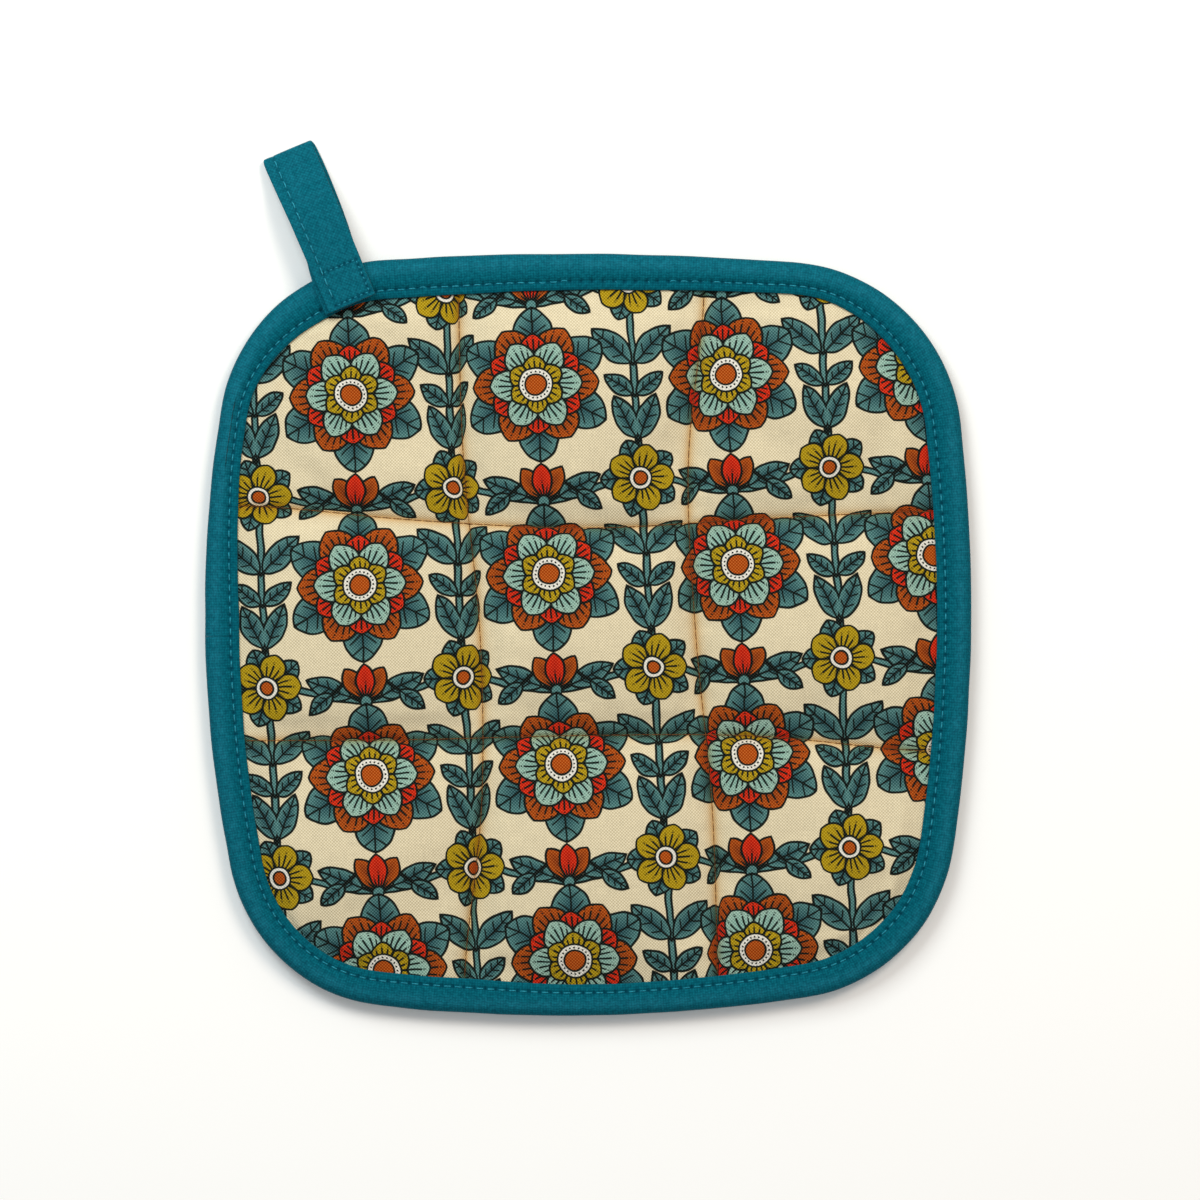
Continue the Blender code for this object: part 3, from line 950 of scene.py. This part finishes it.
BIND_STEP = 0.42 * MM
BIND_PITCH = 2.9 * MM
MOST_WIDTH = 12 * MM
STITCH_FROM_EDGE = 2.3 * MM
STITCH_DIP = 0.56 * MM
NEEDLE_DIP = 0.34 * MM
NEEDLE_REACH = 0.52 * MM
PUCKER = 0.08 * MM
PUCKER_REACH = 1.8 * MM
WANDER = 0.16 * MM
WANDER_TURNS = 9
WANDER_LIFT = 0.4
TOP_FROM = 0.7
EDGE_STEPS = 10
HOLLOW = 1.95 * MM
HOLLOW_STEPS = 4
ABOVE_TABLE = 0.03 * MM
CROWN = 2.7 * MM
CROWN_REACH = 1.6 * MM
TEAL = "#035969"
TEAL_DEEP = "#024F60"
TEAL_LIGHT = "#076475"
# Added along the strip's crown: part wear, part painted sheen.
TEAL_FADE_AND_SHEEN = "#10353F"
# Painted shade in the needle holes.
TEAL_HOLE_SHADE = "#02384A"
# In millimetres. Poplin's threads are finer, but wouldn't show.
TEAL_WEAVE = 0.5
# The poplin's noises on the flat strip, in millimetres: scale, detail and roughness.
MOTTLE = (1.1, 3.0, 0.6)
PATCHES = (0.35, 2.0)
PATCH_RANGE = (0.35, 0.65)
FADE_AND_SHEEN_RANGE = (0.55, 1.25)
# The top of the folded strip, from its inner edge outwards, in millimetres: the share of its width,
# how far beside that, and how far below its crest. The stitches run where it dips.
BINDING_TOP = (
    (1.0, -0.15, 1.42),
    (1.0, 0.0, 1.2),
    (1.0, -0.05, 0.95),
    (1.0, -0.35, 0.72),
    (1.0, -0.9, 0.58),
    (1.0, -1.35, 0.51),
    (1.0, -1.7, 0.5),
    (1.0, -2.0, 0.54),
    (1.0, -2.3, 0.56),
    (1.0, -2.6, 0.48),
    (1.0, -2.95, 0.3),
    (1.0, -3.4, 0.1),
    (1.0, -4.0, -0.03),
    (0.5, -0.3, -0.05),
)


def sideways(loop):
    """The outward direction all along an anticlockwise loop of places."""
    run = np.roll(loop, -1, axis=0) - np.roll(loop, 1, axis=0)
    run /= np.linalg.norm(run, axis=1)[:, None]
    return np.column_stack([run[:, 1], -run[:, 0]])


def binding_crest():
    """The binding's highest line all round, with the binding's width there: x, y, 0 and the width,
    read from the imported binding."""
    mesh = packed_mesh("binding")
    found = np.array([vert.co for vert in mesh.verts])
    mesh.free()
    crest = found[found[:, 2] > bind_top - SAME_HEIGHT][:, :2]
    crest = crest[np.arctan2(crest[:, 1], crest[:, 0]).argsort()]
    low = found[found[:, 2] < SAME_HEIGHT][:, :2]
    outward = sideways(crest)
    along = np.column_stack([-outward[:, 1], outward[:, 0]])
    away = low[None] - crest[:, None]
    inward = -(away * outward[:, None]).sum(axis=2)
    skewed = np.abs((away * along[:, None]).sum(axis=2))
    skewed[(inward < MM) | (inward > MOST_WIDTH)] = np.inf
    width = inward[np.arange(len(crest)), skewed.argmin(axis=1)] + bind_top / 2
    return np.column_stack([crest, np.zeros(len(crest)), width])


def half_round(radius, steps, first, last):
    """Part of a circle round the binding's outer half, in rows like the top's."""
    half = bind_top / 2 / MM
    angles = np.radians(np.linspace(first, last, steps + 1))
    return [(0.0, half - radius * math.cos(a), half - radius * math.sin(a)) for a in angles]


def stitch_row(crest, pitch):
    """Needle holes all round the binding, at even steps: their places on the ground."""
    holes = at_even_steps(np.concatenate([crest, crest[:1]]), pitch)[:-1]
    inset = holes[:, 3:] - STITCH_FROM_EDGE - bind_top / 2
    row = holes[:, :2] - sideways(holes[:, :2]) * inset
    return np.concatenate([row, row[:1]])


def needle_marks(rings, holes):
    """1 at a needle hole, falling to 0 around it, for each point of the rings."""
    tree = KDTree(len(holes))
    for number, hole in enumerate(holes):
        tree.insert(hole, number)
    tree.balance()
    gaps = np.array([tree.find(point)[2] for point in rings.reshape(-1, 3)])
    return np.exp(-((gaps / NEEDLE_REACH) ** 2)).reshape(rings.shape[:2])


def at_height(row, height):
    """The row's places, all at one height."""
    return np.column_stack([row[:, :2], np.full(len(row), height)])


def binding_rings(crest, row):
    """The folded strip's outline at each place round the pad: points, where each lies on the flat
    strip, how near a needle hole and how near the strip's crown."""
    half = bind_top / 2 / MM
    under = [(share, beside, 2 * half - below) for share, beside, below in BINDING_TOP[::-1]]
    edge = half_round(half, EDGE_STEPS, 90, -90)
    hollow = half_round(HOLLOW / MM, HOLLOW_STEPS, -90, 90)
    share, beside, below = (np.array([*BINDING_TOP, *edge, *under, *hollow]) * (1, MM, MM)).T
    count = len(crest)
    inset = crest[:, 3:] * share + beside
    height = np.broadcast_to(bind_top - below, inset.shape).copy()
    outer = np.arange(inset.shape[1]) < inset.shape[1] - len(hollow)

    around = np.linspace(0, 2 * math.pi, count, endpoint=False)
    spots = WANDER_TURNS * np.column_stack([np.cos(around), np.sin(around), 0 * around])
    swing = np.outer([noise.noise(spot) for spot in spots], outer) * WANDER
    inset += swing
    height += swing * WANDER_LIFT * (height > bind_top * TOP_FROM)
    flat = crest[:, None, :2] - sideways(crest[:, :2])[:, None] * (inset - bind_top / 2)[:, :, None]
    rings = np.dstack([flat, height])

    holes = [at_height(row, bind_top - STITCH_DIP), at_height(row, STITCH_DIP)]
    needle = needle_marks(rings, np.concatenate(holes)) * outer
    from_row = inset - crest[:, 3:] + STITCH_FROM_EDGE
    turns = around[:, None] * (len(row) - 1) + from_row * math.pi / BIND_PITCH
    pucker = PUCKER * np.sin(turns) * np.exp(-((from_row / PUCKER_REACH) ** 2)) * outer
    side = np.sign(height - bind_top / 2)
    rings[:, :, 2] = np.maximum(height + side * (pucker - NEEDLE_DIP * needle), ABOVE_TABLE)

    steps = np.linalg.norm(np.diff(rings, axis=1, prepend=rings[:, :1]), axis=2)
    across = steps.cumsum(axis=1)
    along = np.broadcast_to(np.arange(count)[:, None] * BIND_STEP, across.shape)
    bias = np.dstack([along - across, along + across]) / MM / math.sqrt(2)
    crown = np.exp(-(((inset - CROWN) / CROWN_REACH) ** 2)) * outer
    return rings, bias, needle, crown


def skin(name, rings, cloth, needle, crown, closed):
    """A teal skin over rings of points that match one to one, whose ends, if any, are closed flat.
    It keeps where each point lies on the flat strip and how near a needle hole and the crown."""
    count, size = rings.shape[:2]
    mesh = bmesh.new()
    verts = [mesh.verts.new(point) for point in rings.reshape(-1, 3)]
    for i in range(count if closed else count - 1):
        here, there = i * size, (i + 1) % count * size
        for j in range(size):
            k = (j + 1) % size
            mesh.faces.new([verts[n] for n in (here + j, here + k, there + k, there + j)])
    if not closed:
        mesh.faces.new(verts[:size])
        mesh.faces.new(verts[-size:])
    bmesh.ops.recalc_face_normals(mesh, faces=mesh.faces)
    made = object_of(name, mesh, teal)
    flat = np.dstack([cloth, np.zeros((count, size))]).reshape(-1, 3)
    keep_attributes(made.data, cloth_mm=flat, needle=needle.ravel(), crown=crown.ravel())
    return made


def teal_cotton():
    """Plain-dyed poplin: matt and deep, mottled by its yarns, paled in patches along the strip's
    crown by wear and a painted sheen, with a painted highlight where the weave's threads rise and
    painted shade where the needle went in."""
    looks = {"Specular IOR Level": 0.03, "Sheen Weight": 0.16, "Sheen Roughness": 0.25}
    made, tree, shader = material("teal_poplin", {**MATT_COTTON, **looks})
    place = add("Attribute", attribute_name="cloth_mm", take="Vector", into=tree)
    mottle = add("TexNoise", place, *MOTTLE, noise_dimensions="2D")
    colour, _ = ramp(mottle, (0.34, TEAL_DEEP, 1), (0.5, TEAL, 1), (0.66, TEAL_LIGHT, 1))
    # Along the crown the teal is paled by wear and by a painted sheen.
    crown = add("Attribute", attribute_name="crown", take="Fac", into=tree)
    patches = add("TexNoise", place, *PATCHES, noise_dimensions="2D")
    patches = add("MapRange", patches, *PATCH_RANGE, *FADE_AND_SHEEN_RANGE)
    fade_and_sheen = add("Math MULTIPLY", crown, patches)
    colour = add("VectorMath MULTIPLY_ADD", fade_and_sheen, linear(TEAL_FADE_AND_SHEEN)[:3], colour)
    # Painted shade at each needle hole, over the dip that the mesh has there.
    hole = add("Attribute", attribute_name="needle", take="Fac", into=tree)
    colour = add("Mix", hole, colour, linear(TEAL_HOLE_SHADE), data_type="RGBA")
    weave = plain_weave(place, TEAL_WEAVE, 0.0)
    weave_over(shader, colour, weave, depth=0.2, bounces=0.0, crown_highlight="#03232A", relief=0.03 * MM)
    return made


teal = teal_cotton()
crest = smooth_through(binding_crest(), BIND_STEP, closed=True)
topstitch_row = stitch_row(crest, BIND_PITCH)
binding = skin("binding_strip", *binding_rings(crest, topstitch_row), closed=True)
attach(binding, "root")
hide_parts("binding")

# ---- Binding topstitching ----
# One row of stitches in a lighter teal thread, all round, 2.3 mm from the binding's inner edge.

TOP_THREAD = 0.34 * MM
TOP_RISE = 0.56 * MM
TOP_LENGTH = 0.64

teal_thread = thread("teal_thread", "#2C9AAE", "#117086")
surface = surface_of(binding)
for name, side in (("binding_stitches", 1), ("binding_stitches_under", -1)):
    rows = [laid_on(topstitch_row, [surface], side)]
    sew(name, "teal_thread", rows, TOP_THREAD, TOP_LENGTH, side * TOP_RISE, teal_thread)

# ---- Hanging loop ----
# A strip of the same teal cotton, folded in four and edge-stitched, doubles back on itself. Both
# its ends lie on the binding at the back left corner, held there by a rectangle of stitches.

STRIP_WIDTH = 13.2 * MM
STRIP_THICK = 1.2 * MM
STRIP_STEP = 0.42 * MM
LOOP_PITCH = 3.2 * MM
LOOP_LEAN = math.radians(23.0)
# From here on in millimetres, apart from shares.
LOOP_ROOT = (-62.3, 87.7)
LOOP_END = 44.7
STRIP_FLARE = 0.07
STRIP_SWELL = 0.1
CORNER_TUCK = 0.03
CORNER_REACH = 0.9
SLIT_DEPTH = 0.9
LIP_FLAT = 0.94
OUTLINE_STEP = 0.42
OUTLINE_GAPS = (0.4, 0.2)
EDGE_ROW = -4.15
EDGE_DIP = 0.12
EDGE_DIP_REACH = 0.55
EDGE_SUNK = 0.1
EDGE_MARK = 0.45
# How much of the crown's wear and painted sheen the whole loop takes.
LOOP_CROWN = 0.45
UNDERSIDE_FROM = 40.0
# The strip's middle, from its upper end round the fold to its lower end: how far from the root, how
# high and how far aside.
LOOP_ROUTE = (
    (0.0, 8.3, 0.0),
    (6.0, 8.3, 0.0),
    (12.0, 8.3, 0.0),
    (19.0, 8.25, 0.0),
    (26.0, 7.7, 0.0),
    (32.5, 6.1, -0.15),
    (38.0, 3.85, -0.25),
    (42.2, 2.4, -0.3),
    (44.15, 1.55, -0.1),
    (42.5, 0.9, 0.25),
    (36.0, 0.9, 0.55),
    (27.0, 0.9, 0.5),
    (20.5, 0.95, 0.25),
    (17.2, 1.8, 0.0),
    (14.5, 3.85, -0.15),
    (11.5, 6.5, -0.6),
    (7.0, 7.05, -1.1),
    (0.0, 7.05, -1.1),
)
# The rectangle of stitches: its corners, as (how far from the root, how far aside).
LOOP_BOX = ((10.4, -4.15), (10.4, 5.4), (1.15, 5.4), (1.15, -4.15))
BOX_PITCH = 1.55


def strip_outline():
    """The folded strip's outline, in millimetres: one edge a round fold, the other two folded lips
    with a slit between them. Rows of (across, above the middle)."""
    half, thick = STRIP_WIDTH / MM / 2, STRIP_THICK / MM / 2
    lip = thick / 2
    fold = [math.radians(a) for a in np.linspace(90, -90, 7)]
    right = [(half - thick + thick * math.cos(a), thick * math.sin(a)) for a in fold]
    turn = [math.radians(a) for a in np.linspace(270, 90, 6)]
    upper = [(lip - half + lip * math.cos(a), lip + lip * math.sin(a) * LIP_FLAT) for a in turn]
    slit = (lip - half + SLIT_DEPTH, 0.0)
    first, last = OUTLINE_GAPS
    inner = np.arange(lip - half + first, half - thick - last, OUTLINE_STEP)
    dips = [EDGE_DIP * math.exp(-(((x - EDGE_ROW) / EDGE_DIP_REACH) ** 2)) for x in inner]
    top = [(x, thick - dip) for x, dip in zip(inner, dips)]
    below = [(x, -y) for x, y in [*upper, *top][::-1]]
    return np.array([*right, *below, slit, *upper, *top])


def on_ground(spots):
    """Places on the ground, in metres, of (how far from the loop's root, how far aside)."""
    spots = np.asarray(spots)
    ahead = np.array([-math.sin(LOOP_LEAN), math.cos(LOOP_LEAN)])
    aside = np.array([math.cos(LOOP_LEAN), math.sin(LOOP_LEAN)])
    return (LOOP_ROOT + spots[:, :1] * ahead + spots[:, 1:2] * aside) * MM


def strip_frames(spacing):
    """Places along the strip's middle, the way across it and the way out to its outer side."""
    route = smooth_through(np.array(LOOP_ROUTE) * MM, spacing)
    middle = at_height(on_ground(route[:, [0, 2]] / MM), 0)
    middle[:, 2] = route[:, 1]
    ahead = np.gradient(middle, axis=0)
    across = np.tile(on_ground([(0, 1)]) - on_ground([(0, 0)]), (len(middle), 1)) / MM
    across = at_height(across, 0)
    out = np.cross(across, ahead)
    return middle, across, out / np.linalg.norm(out, axis=1)[:, None]


def hanging_loop(edge_holes, box_holes):
    """The whole strip, with a dip at each needle hole: a slight one along its edge."""
    middle, across, out = strip_frames(STRIP_STEP)
    outline = strip_outline()
    beside, above = np.broadcast_to(outline.T[:, None], (2, len(middle), len(outline)))
    reached = (middle[:, :2] - on_ground([(0, 0)])) @ (on_ground([(1, 0)]) - on_ground([(0, 0)]))[0]
    reached = reached[:, None] / MM / MM
    flare = 1 + STRIP_FLARE * reached / LOOP_END
    flare = flare - CORNER_TUCK * np.exp(-(((LOOP_END - reached) / CORNER_REACH) ** 2))
    swell = 1 + STRIP_SWELL * np.cos(beside / STRIP_WIDTH * MM * math.pi)
    place = middle[:, None] + across[:, None] * (beside * flare)[:, :, None] * MM
    rings = place + out[:, None] * (above * swell)[:, :, None] * MM
    slight = EDGE_MARK * needle_marks(rings, edge_holes)
    needle = np.maximum(slight, needle_marks(rings, box_holes))
    rings -= out[:, None] * (np.sign(above) * needle)[:, :, None] * NEEDLE_DIP
    rings[:, :, 2] = np.maximum(rings[:, :, 2], ABOVE_TABLE)
    along = np.arange(len(middle))[:, None] * STRIP_STEP / MM
    beside = beside + np.where(above < 0, UNDERSIDE_FROM, 0.0)
    flat = np.dstack([np.broadcast_to(along, beside.shape), beside])
    crown = np.full(needle.shape, LOOP_CROWN)
    return skin("loop_strip", rings, flat, needle, crown, closed=False)


middle, across, out = strip_frames(LOOP_PITCH)
edge_row = middle + (across * EDGE_ROW + out * (STRIP_THICK / MM / 2 - EDGE_SUNK)) * MM
edge_row, out = edge_row[1:-1], out[1:-1]
box_row = []
for start, end in zip(LOOP_BOX, LOOP_BOX[1:]):
    steps = round(math.dist(start, end) / BOX_PITCH)
    box_row += list(np.linspace(start, end, steps, endpoint=False))
box_row = on_ground([*box_row, LOOP_BOX[-1]])
box_height = LOOP_ROUTE[0][1] * MM + STRIP_THICK / 2
loop = hanging_loop(edge_row, at_height(box_row, box_height))
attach(loop, "root")
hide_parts("hanging_loop")

# ---- Loop stitching ----
# The strip's open edge is stitched from end to end before it is folded. Then the rectangle goes
# through both its ends, the binding and the pad, and shows on the back too.

# The edge stitches show where the strip lies about level, on its outer side and then underneath.
LEVEL = 0.3
EDGE_UNDER_RISE = 0.3 * MM
EDGE_LENGTH = 0.66
BOX_THREAD = 0.26 * MM
BOX_RISE = 0.3 * MM
BOX_LENGTH = 0.45
# The height of the rectangle's lowest needle holes, which keeps its threads off the table, and the
# step at the binding's edge that no thread crosses.
BOX_CLEAR = 0.38 * MM
BOX_STEP = 1.0 * MM

for name, side, rise in (
    ("loop_edge_stitches", 1, TOP_RISE),
    ("loop_edge_stitches_under", -1, EDGE_UNDER_RISE),
):
    rows = [edge_row[side * out[:, 2] > LEVEL]]
    sew(name, "teal_thread", rows, TOP_THREAD, EDGE_LENGTH, side * rise, teal_thread)
surfaces = [surface_of(piece) for piece in (loop, binding, backing)]
for name, side in (("loop_box", 1), ("loop_box_under", -1)):
    row = laid_on(box_row, surfaces, side, least=BOX_CLEAR)
    rows = np.split(row, np.flatnonzero(np.abs(np.diff(row[:, 2])) > BOX_STEP) + 1)
    sew(name, "teal_thread", rows, BOX_THREAD, BOX_LENGTH, side * BOX_RISE, teal_thread)

made_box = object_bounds()
sizes = [[list(corner) for corner in box] for box in (cad_box, made_box)]
